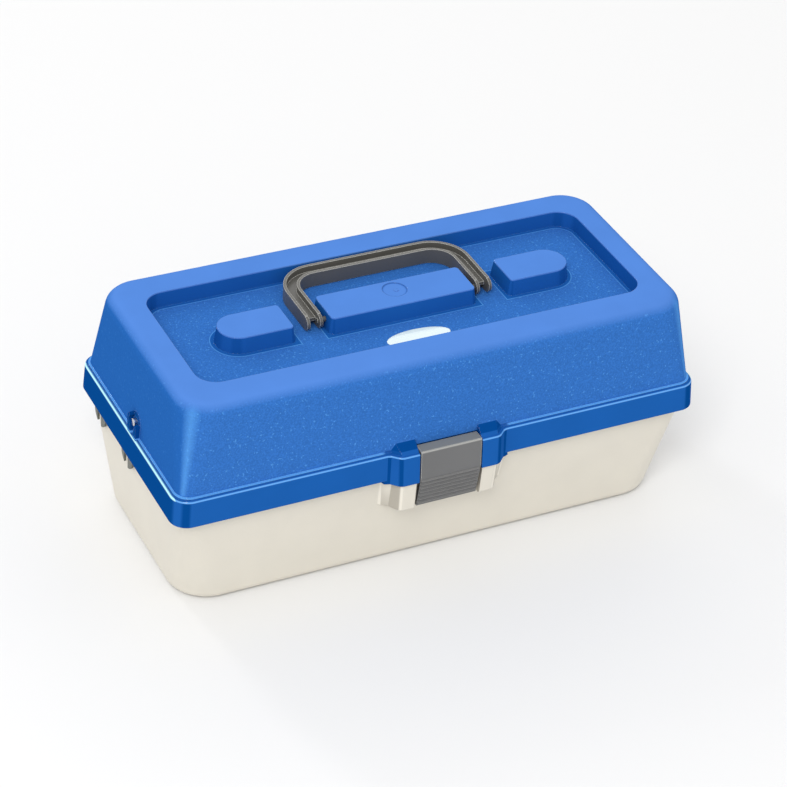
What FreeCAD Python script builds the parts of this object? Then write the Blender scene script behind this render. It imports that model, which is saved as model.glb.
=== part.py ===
import FreeCAD, Part
import Sketcher
import os

# Moulded cantilever tackle box: tub, hinged lid with recessed top, bail handle, front latch and
# one tray that swings out on parallel arms.  +Z up, -Y front, +X right; origin at the centre of
# the tub's underside.  Millimetres.

V = FreeCAD.Vector
os.makedirs("parts", exist_ok=True)
doc = FreeCAD.newDocument("TackleBox")

# ---------------------------------------------------------------- driving dimensions
DIMENSIONS = [
    # tub
    ("tub_foot_hx", 169.1, "half length of the tub at its foot"),
    ("tub_foot_hy", 68.5, "half depth of the tub at its foot"),
    ("tub_foot_corner", 28.0, "corner radius of the tub at its foot"),
    ("tub_hx", 174.7, "half length of the tub under the lid"),
    ("tub_hy", 79.1, "half depth of the tub under the lid"),
    ("tub_corner", 11.0, "corner radius of the tub under the lid"),
    ("tub_foot_round", 7.0, "rounding of the tub's lower edge"),
    ("tub_wall", 2.2, "wall of the tub"),
    ("tub_floor", 2.4, "floor of the tub"),
    ("rim_top", 90.2, "height of the tub's rim"),
    # lid
    ("skirt_low", 74.5, "lower edge of the lid's skirt"),
    ("skirt_top", 92.7, "ledge at the top of the skirt"),
    ("skirt_hx", 180.0, "half length of the skirt's lower edge"),
    ("skirt_hy", 84.3, "half depth of the skirt's lower edge"),
    ("skirt_draft", 1.1, "draft of the skirt over its height"),
    ("skirt_corner", 11.5, "corner radius of the skirt"),
    ("skirt_round", 1.5, "rounding of the skirt's upper edge"),
    ("lid_top", 151.6, "overall height, top of the lid"),
    ("lid_inset", 4.1, "wall foot inside the skirt's lower edge"),
    ("lid_draft", 4.9, "draft of the lid wall over its height"),
    ("lid_corner_low", 9.0, "corner radius at the wall's foot"),
    ("lid_corner_top", 25.0, "corner radius at the lid's top"),
    ("lid_round", 9.0, "rounding of the lid's upper edge"),
    ("lid_wall", 2.3, "wall of the lid"),
    ("bead_step", 1.1, "step at the foot of the lid wall"),
    # top recess
    ("recess_hx", 150.8, "half length of the top recess"),
    ("recess_hy", 51.6, "half depth of the top recess"),
    ("recess_deep", 11.0, "depth of the recess"),
    ("recess_corner", 14.0, "corner radius of the recess"),
    ("recess_draft", 0.5, "draft of the recess walls"),
    ("island_draft", 1.7, "draft of the raised pads"),
    ("pad_in", 75.0, "flat end of a D pad from the centre"),
    ("pad_out", 119.6, "round end of a D pad from the centre"),
    ("pad_hy", 13.0, "half depth of a D pad"),
    ("boss_hx", 49.3, "half length of the centre boss"),
    ("boss_hy", 13.3, "half depth of the centre boss"),
    ("dimple_rad", 8.0, "radius of the round dimple on the boss"),
    ("dimple_y", 3.4, "dimple behind the centre line"),
    ("label_hx", 21.5, "half length of the oval label"),
    ("label_hy", 8.2, "half depth of the oval label"),
    ("label_y", -35.0, "centre of the label"),
    # handle
    ("handle_y", -4.0, "handle pivot"),
    ("handle_drop", 5.6, "handle pivot under the lid's top"),
    ("handle_in", 53.3, "inner face of a handle leg from the centre"),
    ("handle_out", 63.7, "outer face of a handle leg from the centre"),
    ("handle_bar_in", 39.0, "inner face of the grip bar"),
    ("handle_bar_out", 49.4, "outer face of the grip bar"),
    ("handle_high", 10.2, "height of the handle's section"),
    ("handle_flange", 1.9, "thickness of the handle's flanges"),
    ("handle_channel", 4.4, "depth of the handle's upper channel"),
    ("handle_web", 2.2, "web of the handle"),
    ("handle_ear", 4.7, "radius of a handle ear"),
    ("handle_bend", 25.0, "outer bend radius of the handle"),
    ("handle_stud", 1.8, "radius of the handle's studs"),
    # latch
    ("latch_hx", 20.7, "half width of the latch"),
    ("latch_pin_y", -82.4, "latch pivot"),
    ("latch_pin_z", 91.2, "latch pivot height"),
    ("latch_pin_rad", 1.0, "radius of the latch pin"),
    ("pocket_hx", 21.5, "half width of the latch pocket"),
    # rear hinge
    ("hinge_y", 87.8, "lid hinge axis"),
    ("hinge_z", 76.5, "lid hinge axis height"),
    ("hinge_rad", 2.9, "radius of a hinge knuckle"),
    ("hinge_pin_rad", 1.5, "radius of a hinge pin"),
    ("knuckle_a", 90.0, "outermost hinge station, inner end"),
    ("knuckle_b", 98.0, "first joint between knuckles"),
    ("knuckle_c", 122.0, "second joint between knuckles"),
    ("knuckle_d", 130.0, "outermost hinge station, outer end"),
    # tray linkage
    ("lidpin_y", -7.0, "lid pin"),
    ("lidpin_z", 102.0, "lid pin height"),
    ("lidpin_rad", 1.5, "radius of the lid pin"),
    ("lug_half", 6.7, "half width of the arched lug around a lid pin"),
    ("peg_rear_y", 54.0, "rear arm pivot"),
    ("peg_front_y", 6.8, "front arm pivot"),
    ("peg_z", 68.0, "arm pivot height"),
    ("peg_head", 9.3, "radius of a peg's split head"),
    ("peg_head_drop", 0.6, "centre of the head under the peg's axis"),
    ("peg_head_thick", 1.4, "thickness of the head"),
    ("peg_gap_front", -1.2, "front side of the gap in a peg's head, from its axis"),
    ("peg_gap_rear", 4.7, "rear side of the gap in a peg's head, from its axis"),
    ("peg_rad", 4.0, "radius of a peg in the tub's wall"),
    ("journal_rad", 3.0, "radius of a peg in the arm"),
    ("arm_reach", 52.0, "arm pivot to tray pivot"),
    ("arm_in", 167.0, "inner face of an arm"),
    ("arm_thick", 2.0, "thickness of the arms and links"),
    ("arm_half", 4.8, "half width of an arm"),
    ("link_in", 169.3, "inner face of a link"),
    ("link_half", 4.5, "half width of a link"),
    ("traypin_rad", 2.0, "radius of the tray and link pins"),
    # tray
    ("tray_hx", 165.5, "half length of the tray"),
    ("tray_front", -69.0, "front of the tray at its rim"),
    ("tray_back", 68.0, "back of the tray at its rim"),
    ("tray_low", 75.0, "underside of the tray"),
    ("tray_top", 118.0, "rim of the tray"),
    ("tray_draft", 2.0, "draft of the tray's long walls"),
    ("tray_wall", 1.8, "wall of the tray"),
    ("tray_floor", 2.0, "floor of the tray"),
    ("rib_y", -8.0, "long partition of the tray"),
    ("rib_thick", 1.6, "thickness of the tray's partitions"),
    ("rib_top", 112.0, "top of the partitions"),
    ("run_fit", 0.06, "radial play of a turning pin"),
    ("open_fit", 0.2, "radial play where the linkage loop is left open"),
]
sheet = doc.addObject("Spreadsheet::Sheet", "Dim")
for row, (alias, number, note) in enumerate(DIMENSIONS, 1):
    sheet.set("A%d" % row, note)
    sheet.set("B%d" % row, str(number))
    sheet.setAlias("B%d" % row, alias)
doc.recompute()
NAMES = sorted((alias for alias, number, note in DIMENSIONS), key=len, reverse=True)


def full(expr):
    """Put the sheet's name before every dimension named in a formula."""
    words, out = "", []
    for ch in str(expr) + " ":
        if ch.isalnum() or ch == "_":
            words += ch
        else:
            out.append("Dim." + words if words in NAMES else words)
            out.append(ch)
            words = ""
    return "".join(out).strip()


def size(expr):
    """Number that a formula of the sheet's dimensions stands for."""
    return float(sheet.evalExpression(full(expr)))


# ---------------------------------------------------------------- modelling helpers
def new_body(name):
    body = doc.addObject("PartDesign::Body", name)
    body.Label = name
    return body


def sketch(body, role, name, level="0"):
    """Sketch on one of the body's own origin planes, lifted along its normal by `level`."""
    s = body.newObject("Sketcher::SketchObject", "%s_%s" % (body.Name, name))
    plane = [o for o in body.Origin.OriginFeatures if o.Role == role][0]
    s.AttachmentSupport = [(plane, "")]
    s.MapMode = "FlatFace"
    s.setExpression("AttachmentOffset.Base.z", full(level))
    return s


def hold(s, geo, pos, x, y):
    """Fix a sketch point at two formula distances from the sketch's origin."""
    for kind, expr in (("DistanceX", x), ("DistanceY", y)):
        k = s.addConstraint(Sketcher.Constraint(kind, -1, 1, geo, pos, size(expr)))
        s.setExpression("Constraints[%d]" % k, full(expr))


def hold_radius(s, geo, r):
    k = s.addConstraint(Sketcher.Constraint("Radius", geo, size(r)))
    s.setExpression("Constraints[%d]" % k, full(r))


def polygon(s, points):
    first, n = s.GeometryCount, len(points)
    at = [V(size(x), size(y), 0) for x, y in points]
    for i in range(n):
        s.addGeometry(Part.LineSegment(at[i], at[(i + 1) % n]), False)
    for i in range(n):
        s.addConstraint(Sketcher.Constraint("Coincident", first + i, 2, first + (i + 1) % n, 1))
        hold(s, first + i, 1, *points[i])
    return s


def disc(s, x, y, r):
    g = s.addGeometry(Part.Circle(V(size(x), size(y), 0), V(0, 0, 1), size(r)), False)
    hold(s, g, 3, x, y)
    hold_radius(s, g, r)
    return s


def rounded(s, x0, x1, y0, y1, radii):
    """Rectangle x0..x1, y0..y1 with a corner radius each at (x1,y1), (x0,y1), (x0,y0), (x1,y0)."""
    if isinstance(radii, str):
        radii = [radii] * 4
    first = s.GeometryCount
    signs = ((1, 1), (-1, 1), (-1, -1), (1, -1))
    centre = []
    for (sx, sy), r in zip(signs, radii):
        cx = "(%s)-(%s)" % (x1, r) if sx > 0 else "(%s)+(%s)" % (x0, r)
        cy = "(%s)-(%s)" % (y1, r) if sy > 0 else "(%s)+(%s)" % (y0, r)
        centre.append((cx, cy))
    quarter = 1.5707963267948966
    for i, (cx, cy) in enumerate(centre):
        circle = Part.Circle(V(size(cx), size(cy), 0), V(0, 0, 1), size(radii[i]))
        s.addGeometry(Part.ArcOfCircle(circle, i * quarter, (i + 1) * quarter), False)
    arcs = [s.Geometry[first + i] for i in range(4)]
    for i in range(4):
        s.addGeometry(Part.LineSegment(arcs[i].EndPoint, arcs[(i + 1) % 4].StartPoint), False)
    for i in range(4):
        line, nxt = first + 4 + i, first + (i + 1) % 4
        s.addConstraint(Sketcher.Constraint("Tangent", first + i, 2, line, 1))
        s.addConstraint(Sketcher.Constraint("Tangent", line, 2, nxt, 1))
    for i, (cx, cy) in enumerate(centre):
        hold(s, first + i, 3, cx, cy)
        hold_radius(s, first + i, radii[i])
    return s


def flared(s, half):
    """Outline symmetric about X = 0 from the points of its right half, front edge last."""
    return polygon(s, [("-(%s)" % x, y) for x, y in half] + [(x, y) for x, y in reversed(half)])


def extrude(body, s, length, cut=False, mid=False, back=False):
    kind = "PartDesign::Pocket" if cut else "PartDesign::Pad"
    f = body.newObject(kind, s.Name + ("_cut" if cut else "_pad"))
    f.Profile = s
    f.setExpression("Length", full(length))
    if mid:
        f.SideType = "Symmetric"
    # a pocket runs against the sketch's normal unless reversed
    f.Reversed = (not back) if cut else back
    return f


def blend(body, sections, cut=False):
    """Ruled loft; the sections run from the top down, so that the solid is not inside out."""
    sections = sections[::-1]
    kind = "PartDesign::SubtractiveLoft" if cut else "PartDesign::AdditiveLoft"
    f = body.newObject(kind, sections[0].Name + "_loft")
    f.Profile = sections[0]
    f.Sections = sections[1:]
    f.Ruled = True
    return f


def soften(body, radius, test, name):
    """Fillet every edge of the body so far that passes the test."""
    doc.recompute()
    tip = body.Tip
    names = ["Edge%d" % (i + 1) for i, e in enumerate(tip.Shape.Edges) if test(e)]
    f = body.newObject("PartDesign::Fillet", "%s_%s" % (body.Name, name))
    f.Base = (tip, names)
    f.setExpression("Radius", full(radius))
    doc.recompute()
    return f


def level_edge(z):
    return lambda e: all(abs(v.Z - z) < 0.01 for v in e.Vertexes) and len(e.Vertexes) == 2


def upright(e, x, y):
    """True for a steep edge whose middle lies near (+-x, y) in plan."""
    mid = e.CenterOfMass
    ends = [v.Z for v in e.Vertexes]
    return abs(abs(mid.x) - x) < 0.6 and abs(mid.y - y) < 0.8 and max(ends) - min(ends) > 10


def spindle(name, side, steps, y, z):
    """Pin along X at (y, z): steps are (inner x, outer x, radius) on the side given by its sign."""
    body = new_body(name)
    for i, (x0, x1, r) in enumerate(steps):
        s = disc(sketch(body, "YZ_Plane", "step%d" % i, "%s*(%s)" % (side, x0)), y, z, r)
        extrude(body, s, "(%s)-(%s)" % (x1, x0), back=side < 0)
    return body


SIDES = ((-1, "left"), (1, "right"))

# ---------------------------------------------------------------- tub
tub = new_body("base_tub")
low = rounded(sketch(tub, "XY_Plane", "foot"), "-tub_foot_hx", "tub_foot_hx", "-tub_foot_hy",
              "tub_foot_hy", "tub_foot_corner")
high = rounded(sketch(tub, "XY_Plane", "shoulder", "skirt_low"), "-tub_hx", "tub_hx", "-tub_hy",
               "tub_hy", "tub_corner")
blend(tub, [low, high])
band = rounded(sketch(tub, "XY_Plane", "band", "skirt_low"), "-tub_hx", "tub_hx", "-tub_hy",
               "tub_hy", "tub_corner")
extrude(tub, band, "rim_top-skirt_low")
soften(tub, "tub_foot_round", level_edge(0), "foot_round")
# cream boss under the latch, flaring towards the lid
boss = [flared(sketch(tub, "XY_Plane", "boss_low", "50"), [("39.8", "-74.8"), ("32.6", "-87.6")]),
        flared(sketch(tub, "XY_Plane", "boss_high", "skirt_low-2.9"), [("40.2", "-77.6"), ("33", "-89")])]
blend(tub, boss)
soften(tub, "5", lambda e: upright(e, 32.8, -88.3), "boss_cheeks")
soften(tub, "2.2", lambda e: level_edge(50)(e) and e.CenterOfMass.y < -78, "boss_round")
# coves between the flanks of the boss and the front wall
for side, word in SIDES:
    cove = [polygon(sketch(tub, "XY_Plane", "cove_low_" + word, "50.8"),
                    [("%d*35" % side, "-74.6"), ("%d*44.6" % side, "-74.6"), ("%d*40.6" % side, "-76.9"),
                     ("%d*36.5" % side, "-80.4")]),
            polygon(sketch(tub, "XY_Plane", "cove_high_" + word, "skirt_low-2.9"),
                    [("%d*35" % side, "-77.6"), ("%d*47" % side, "-77.6"), ("%d*42.2" % side, "-79.2"),
                     ("%d*36.7" % side, "-83")])]
    blend(tub, cove)
# inside of the tub
inner = [rounded(sketch(tub, "XY_Plane", "in_low", "tub_floor"), "-tub_foot_hx+tub_wall-0.2",
                 "tub_foot_hx-tub_wall+0.2", "-tub_foot_hy+tub_wall-0.3", "tub_foot_hy-tub_wall+0.3",
                 "tub_foot_corner-tub_wall"),
         rounded(sketch(tub, "XY_Plane", "in_high", "skirt_low"), "-tub_hx+tub_wall",
                 "tub_hx-tub_wall", "-tub_hy+tub_wall", "tub_hy-tub_wall", "tub_corner-tub_wall")]
blend(tub, inner, cut=True)
mouth = rounded(sketch(tub, "XY_Plane", "mouth", "skirt_low"), "-tub_hx+tub_wall",
                "tub_hx-tub_wall", "-tub_hy+tub_wall", "tub_hy-tub_wall", "tub_corner-tub_wall")
extrude(tub, mouth, "rim_top-skirt_low+1", cut=True)
soften(tub, "4", lambda e: level_edge(size("tub_floor"))(e), "floor_round")
# hollow cheeks of the boss, open at the top under the lid
for side, word in SIDES:
    cheek = [polygon(sketch(tub, "XY_Plane", "cheek_low_" + word, "52.4"),
                     [("%d*24.2" % side, "-77"), ("%d*24.2" % side, "-85.2"),
                      ("%d*31" % side, "-85.2"), ("%d*35.6" % side, "-77")]),
             polygon(sketch(tub, "XY_Plane", "cheek_high_" + word, "skirt_low-2.8"),
                     [("%d*24.2" % side, "-79.4"), ("%d*24.2" % side, "-86.6"),
                      ("%d*31.6" % side, "-86.6"), ("%d*36" % side, "-79.4")])]
    blend(tub, cheek, cut=True)
# slot that takes the latch's lower end, with the catch ledge across it
slot = polygon(sketch(tub, "YZ_Plane", "slot"), [("-96", "44"), ("-81.2", "44"), ("-81.2", "73"),
                                                 ("-96", "73")])
extrude(tub, slot, "2*(pocket_hx+1.1)", cut=True, mid=True)
catch = polygon(sketch(tub, "YZ_Plane", "catch"), [("-80.6", "60.8"), ("-84.3", "62.4"),
                                                   ("-84.3", "64.6"), ("-80.6", "66.4")])
extrude(tub, catch, "32", mid=True)
# bores for the four arm pegs, straight through both ends
for y in ("peg_rear_y", "peg_front_y"):
    bore = disc(sketch(tub, "YZ_Plane", "bore_" + y), y, "peg_z", "peg_rad+0.03")
    extrude(tub, bore, "2*tub_hx+20", cut=True, mid=True)
# rear hinge knuckles on webs that pass below the skirt
for side, word in SIDES:
    start = "%d*(knuckle_b+0.3)" % side
    reach = "knuckle_c-knuckle_b-0.6"
    web = polygon(sketch(tub, "YZ_Plane", "web_" + word, start),
                  [("77.2", "63"), ("77.6", "74"), ("hinge_y-2.2", "74"), ("hinge_y-1.2", "hinge_z"),
                   ("hinge_y+1.6", "hinge_z-1.9"), ("hinge_y-0.8", "hinge_z-5.5")])
    extrude(tub, web, reach, back=side < 0)
    knuckle = disc(sketch(tub, "YZ_Plane", "knuckle_" + word, start), "hinge_y", "hinge_z", "hinge_rad")
    extrude(tub, knuckle, reach, back=side < 0)
bore = disc(sketch(tub, "YZ_Plane", "hinge_bore"), "hinge_y", "hinge_z", "hinge_pin_rad+0.03")
extrude(tub, bore, "2*knuckle_d+20", cut=True, mid=True)

# ---------------------------------------------------------------- lid
lid = new_body("lid_shell")
foot = ("-(skirt_hx-lid_inset)", "skirt_hx-lid_inset", "-(skirt_hy-lid_inset)", "skirt_hy-lid_inset")
crown = tuple("%s%s" % (e, "+lid_draft" if e[0] == "-" else "-lid_draft") for e in foot)
walls = [rounded(sketch(lid, "XY_Plane", "wall_low", "skirt_top"), *foot, "lid_corner_low"),
         rounded(sketch(lid, "XY_Plane", "wall_high", "lid_top"), *crown, "lid_corner_top")]
blend(lid, walls)
soften(lid, "lid_round", level_edge(size("lid_top")), "top_round")
skirt = [rounded(sketch(lid, "XY_Plane", "skirt_a", "skirt_low"), "-skirt_hx", "skirt_hx", "-skirt_hy",
                 "skirt_hy", "skirt_corner"),
         rounded(sketch(lid, "XY_Plane", "skirt_b", "skirt_top"), "-skirt_hx+skirt_draft",
                 "skirt_hx-skirt_draft", "-skirt_hy+skirt_draft", "skirt_hy-skirt_draft",
                 "skirt_corner")]
blend(lid, skirt)
# bulge around the latch, lower edge a little below the skirt
boss = [flared(sketch(lid, "XY_Plane", "boss_a", "skirt_low-2.5"),
               [("43.8", "-80"), ("42.8", "-83.8"), ("39.2", "-85"), ("33.8", "-90.4")]),
        flared(sketch(lid, "XY_Plane", "boss_b", "skirt_top"),
               [("43.6", "-80"), ("42.4", "-82.7"), ("38.8", "-83.9"), ("33.6", "-88.6")])]
blend(lid, boss)
soften(lid, "6", lambda e: upright(e, 33.7, -89.5), "boss_cheeks")
soften(lid, "skirt_round", lambda e: level_edge(size("skirt_top"))(e) and (
    abs(e.CenterOfMass.x) > size("skirt_hx") - 3.4 or abs(e.CenterOfMass.y) > size("skirt_hy") - 3.4),
    "skirt_round")
# fairing on each side of the latch, from the top of the bulge up to the wall
for side, word in SIDES:
    fairing = [polygon(sketch(lid, "XY_Plane", "fair_a_" + word, "skirt_top-0.3"),
                       [("%d*pocket_hx" % side, "-78.4"), ("%d*pocket_hx" % side, "-87.2"),
                        ("%d*32.6" % side, "-87.2"), ("%d*41.4" % side, "-78.4")]),
               polygon(sketch(lid, "XY_Plane", "fair_b_" + word, "skirt_top+6.2"),
                       [("%d*pocket_hx" % side, "-77.4"), ("%d*pocket_hx" % side, "-79.4"),
                        ("%d*34.6" % side, "-79.4"), ("%d*36.8" % side, "-77.4")])]
    blend(lid, fairing)
# step at the foot of the wall
step = rounded(sketch(lid, "XY_Plane", "step", "skirt_top-0.5"),
               "-(skirt_hx-lid_inset+bead_step)", "skirt_hx-lid_inset+bead_step",
               "-(skirt_hy-lid_inset+bead_step)", "skirt_hy-lid_inset+bead_step",
               "lid_corner_low+bead_step")
extrude(lid, step, "bead_step+0.5")
# arched lugs at both ends for the lid pins; the inside is cleared by the cavity below
lug_box = polygon(sketch(lid, "YZ_Plane", "lug_box"),
                  [("lidpin_y-lug_half", "skirt_top-2"), ("lidpin_y+lug_half", "skirt_top-2"),
                   ("lidpin_y+lug_half", "lidpin_z"), ("lidpin_y-lug_half", "lidpin_z")])
extrude(lid, lug_box, "2*(skirt_hx-1.3)", mid=True)
extrude(lid, disc(sketch(lid, "YZ_Plane", "lug_arch"), "lidpin_y", "lidpin_z", "lug_half"),
        "2*(skirt_hx-1.3)", mid=True)
# inside of the skirt, then of the walls, then of the rounded crown
skirt_in = [rounded(sketch(lid, "XY_Plane", "skirt_in_a", "skirt_low"), "-skirt_hx+2.2", "skirt_hx-2.2",
                    "-skirt_hy+2.2", "skirt_hy-2.2", "skirt_corner-2.2"),
            rounded(sketch(lid, "XY_Plane", "skirt_in_b", "skirt_top-2.2"), "-skirt_hx+3.3",
                    "skirt_hx-3.3", "-skirt_hy+3.3", "skirt_hy-3.3", "skirt_corner-2.2")]
blend(lid, skirt_in, cut=True)
HOLLOW = (("hollow_low", "skirt_top-2.3", "skirt_hx-lid_inset-lid_wall", "skirt_hy-lid_inset-lid_wall",
           "lid_corner_low-lid_wall"),
          ("hollow_top", "lid_top-lid_wall", "skirt_hx-lid_inset-lid_wall-lid_draft+0.2",
           "skirt_hy-lid_inset-lid_wall-lid_draft+0.2", "lid_corner_top-lid_wall"))
core = new_body("lid_core")
blend(core, [rounded(sketch(core, "XY_Plane", name, z), "-(%s)" % hx, hx, "-(%s)" % hy, hy, r)
             for name, z, hx, hy, r in HOLLOW])
soften(core, "lid_round-lid_wall", level_edge(size("lid_top-lid_wall")), "round")
hollow = lid.newObject("PartDesign::Boolean", "lid_shell_hollow")
hollow.setObjects([core])
hollow.Type = "Cut"
# floor of the recess, then the recess itself
tray_floor = rounded(sketch(lid, "XY_Plane", "recess_block", "lid_top-recess_deep-lid_wall"),
                     "-recess_hx-lid_wall+0.2", "recess_hx+lid_wall-0.2", "-recess_hy-lid_wall+0.2",
                     "recess_hy+lid_wall-0.2", "recess_corner+lid_wall")
extrude(lid, tray_floor, "recess_deep+lid_wall-0.4")
recess = [rounded(sketch(lid, "XY_Plane", "recess_a", "lid_top+0.01"), "-recess_hx", "recess_hx",
                  "-recess_hy", "recess_hy", "recess_corner"),
          rounded(sketch(lid, "XY_Plane", "recess_b", "lid_top-recess_deep"), "-recess_hx+recess_draft",
                  "recess_hx-recess_draft", "-recess_hy+recess_draft", "recess_hy-recess_draft",
                  "recess_corner-recess_draft")]
blend(lid, recess, cut=True)


def island(name, x0, x1, hy, radii, grow, z0, z1, cut=False):
    """Raised pad of the recess: outline at z1, grown by `grow` at z0."""
    wide = ["(%s)+(%s)" % (r, grow) for r in radii]
    pair = [rounded(sketch(lid, "XY_Plane", name + "_a", z0), "(%s)-(%s)" % (x0, grow),
                    "(%s)+(%s)" % (x1, grow), "-(%s)-(%s)" % (hy, grow), "(%s)+(%s)" % (hy, grow), wide),
            rounded(sketch(lid, "XY_Plane", name + "_b", z1), x0, x1, "-(%s)" % hy, hy, radii)]
    blend(lid, pair, cut=cut)


ROUND, SHARP = "pad_hy-0.1", "2"
ISLANDS = (("pad_left", "-pad_out", "-pad_in", "pad_hy", [SHARP, ROUND, ROUND, SHARP]),
           ("pad_right", "pad_in", "pad_out", "pad_hy", [ROUND, SHARP, SHARP, ROUND]),
           ("boss", "-boss_hx", "boss_hx", "boss_hy", ["2.5"] * 4))
for name, x0, x1, hy, radii in ISLANDS:
    island("raise_" + name, x0, x1, hy, radii, "island_draft", "lid_top-recess_deep-0.5", "lid_top")
for name, x0, x1, hy, radii in ISLANDS:
    thin = ["(%s)-2.2" % r if r == ROUND else "0.8" for r in radii]
    island("hollow_" + name, "(%s)+2.2" % x0, "(%s)-2.2" % x1, "(%s)-2.2" % hy, thin, "island_draft",
           "lid_top-recess_deep-lid_wall-0.1", "lid_top-lid_wall", cut=True)
# shallow round dimple with a small gate mark
dimple = disc(sketch(lid, "XY_Plane", "dimple", "lid_top-0.5"), "0.9", "dimple_y", "dimple_rad")
extrude(lid, dimple, "2", cut=True)
mark = disc(sketch(lid, "XY_Plane", "mark", "lid_top-0.8"), "1.6", "dimple_y-0.6", "1.5")
extrude(lid, mark, "0.7")
# backing wall behind the latch, pocket in the bulge and room for the latch's barrel
back = polygon(sketch(lid, "YZ_Plane", "backing"), [("-83", "skirt_low-1.5"), ("-80.2", "skirt_low-1.5"),
                                                    ("-80.2", "skirt_top-0.8"), ("-83", "skirt_top-0.8")])
extrude(lid, back, "48", mid=True)
pocket = polygon(sketch(lid, "YZ_Plane", "pocket"), [("-97", "70"), ("-81.3", "70"), ("-81.3", "97"),
                                                     ("-97", "97")])
extrude(lid, pocket, "2*pocket_hx", cut=True, mid=True)
barrel = disc(sketch(lid, "YZ_Plane", "barrel_room"), "latch_pin_y", "latch_pin_z", "3.7")
extrude(lid, barrel, "2*pocket_hx", cut=True, mid=True)
for side, word in SIDES:
    cheek = [polygon(sketch(lid, "XY_Plane", "cheek_a_" + word, "skirt_low-2.6"),
                     [("%d*24" % side, "-80.9"), ("%d*24" % side, "-88.2"), ("%d*32.2" % side, "-88.2"),
                      ("%d*37.4" % side, "-80.9")]),
             polygon(sketch(lid, "XY_Plane", "cheek_b_" + word, "skirt_top-2.4"),
                     [("%d*24" % side, "-80.4"), ("%d*24" % side, "-86.6"), ("%d*31.5" % side, "-86.6"),
                      ("%d*36.6" % side, "-80.4")])]
    blend(lid, cheek, cut=True)
bore = disc(sketch(lid, "YZ_Plane", "latch_bore"), "latch_pin_y", "latch_pin_z", "latch_pin_rad+0.03")
extrude(lid, bore, "47.6", cut=True, mid=True)
# seat and slot in the face of each end lug, and the bores for the lid pins
for side, word in SIDES:
    face = "%d*(skirt_hx-4.9)" % side
    seat = disc(sketch(lid, "YZ_Plane", "seat_" + word, face), "lidpin_y", "lidpin_z", "4.4")
    extrude(lid, seat, "6", cut=True, back=side < 0)
    slit = rounded(sketch(lid, "YZ_Plane", "slit_" + word, face), "lidpin_y-3", "lidpin_y+3",
                   "skirt_top+0.2", "lidpin_z+0.5", ["0.4", "0.4", "2.6", "2.6"])
    extrude(lid, slit, "6", cut=True, back=side < 0)
    notch = polygon(sketch(lid, "YZ_Plane", "notch_" + word, "%d*(skirt_hx-4.6)" % side),
                    [("lidpin_y-lug_half-1", "lidpin_z+0.6"), ("lidpin_y+2.8", "lidpin_z+0.6"),
                     ("lidpin_y+2.8", "lidpin_z+lug_half+1"), ("lidpin_y-lug_half-1", "lidpin_z+lug_half+1")])
    extrude(lid, notch, "6", cut=True, back=side < 0)
bore = disc(sketch(lid, "YZ_Plane", "lidpin_bore"), "lidpin_y", "lidpin_z", "lidpin_rad+0.03")
extrude(lid, bore, "2*skirt_hx+10", cut=True, mid=True)
# bores for the handle studs in the ends of the centre boss
for side, word in SIDES:
    bore = disc(sketch(lid, "YZ_Plane", "stud_bore_" + word, "%d*(boss_hx-4)" % side), "handle_y",
                "lid_top-handle_drop", "handle_stud+0.03")
    extrude(lid, bore, "8", cut=True, back=side < 0)
# hinge knuckles on the back of the skirt
for side, word in SIDES:
    for near, far in (("knuckle_a", "knuckle_b"), ("knuckle_c", "knuckle_d")):
        start, reach = "%d*%s" % (side, near), "%s-%s" % (far, near)
        web = polygon(sketch(lid, "YZ_Plane", "web_%s_%s" % (near, word), start),
                      [("82.2", "skirt_low+0.1"), ("82.2", "hinge_z+5"), ("hinge_y+0.8", "hinge_z+2.8"),
                       ("hinge_y", "hinge_z-2.9"), ("hinge_y-3", "skirt_low+0.1")])
        extrude(lid, web, reach, back=side < 0)
        knuckle = disc(sketch(lid, "YZ_Plane", "knuckle_%s_%s" % (near, word), start), "hinge_y",
                       "hinge_z", "hinge_rad")
        extrude(lid, knuckle, reach, back=side < 0)
bore = disc(sketch(lid, "YZ_Plane", "hinge_bore"), "hinge_y", "hinge_z", "hinge_pin_rad+run_fit")
extrude(lid, bore, "2*knuckle_d+20", cut=True, mid=True)

# ---------------------------------------------------------------- label
oval = doc.addObject("Part::Ellipse", "label_outline")
oval.setExpression("MajorRadius", full("label_hx"))
oval.setExpression("MinorRadius", full("label_hy"))
oval.setExpression("Placement.Base.y", full("label_y"))
oval.setExpression("Placement.Base.z", full("lid_top-recess_deep+0.02"))
label = doc.addObject("Part::Extrusion", "label_plate")
label.Label = "label_plate"
label.Base = oval
label.DirMode = "Custom"
label.Dir = V(0, 0, 1)
label.LengthFwd = 0.6
label.Solid = True

# ---------------------------------------------------------------- handle
handle = new_body("handle_bail")
H_LOW = "lid_top-0.4-handle_high"
H_TOP = "lid_top-0.4"


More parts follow.
